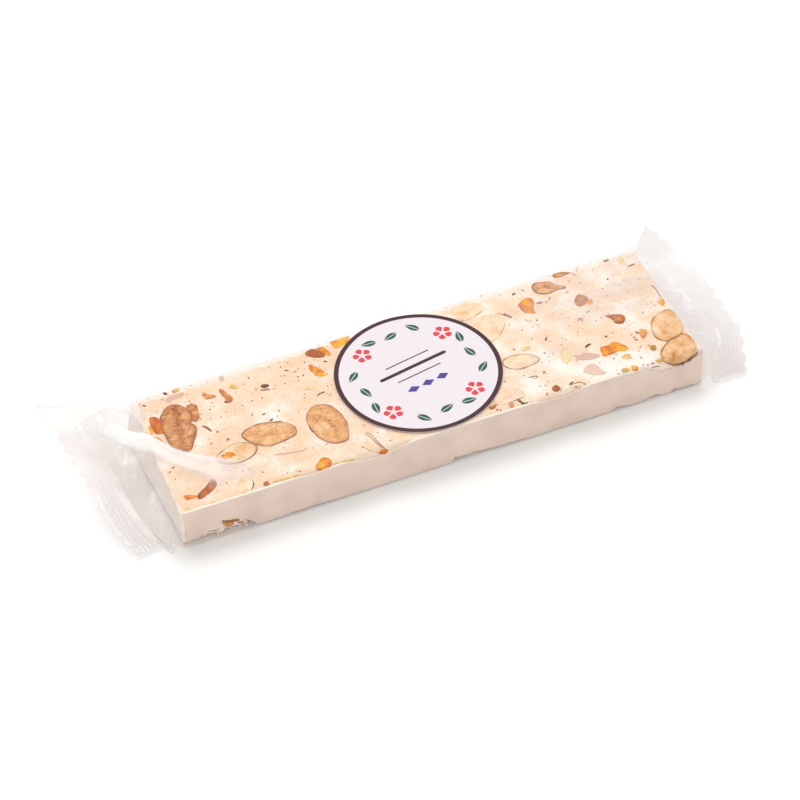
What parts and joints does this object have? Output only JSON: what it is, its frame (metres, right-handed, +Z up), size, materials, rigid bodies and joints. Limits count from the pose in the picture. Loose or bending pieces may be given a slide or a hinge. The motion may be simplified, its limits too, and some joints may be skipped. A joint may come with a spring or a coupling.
{
  "type": "wrapped nougat bar",
  "caption": "Flat oblong bar of almond and candied-fruit nougat in a clear crimped film wrap with a round label on top.",
  "frame": {"origin": "centre of the flat underside of the bar, on the surface that it rests on", "axes": "+X along the bar, +Y across it towards its back long side, +Z up"},
  "size_m": [0.2065, 0.0643, 0.0159],
  "materials": {
    "film": "clear glossy polypropylene film",
    "label": "smooth satin paper with printed shapes",
    "nougat": "soft matt cream nougat, sawn smooth on top",
    "wafer": "smooth matt wafer sheet",
    "almond": "cut roasted almond with a darker skin",
    "fruit": "moist candied peel and fruit"
  },
  "bodies": {
    "root": {"film_pack": "film", "label": "label"}
  },
  "joints": []
}
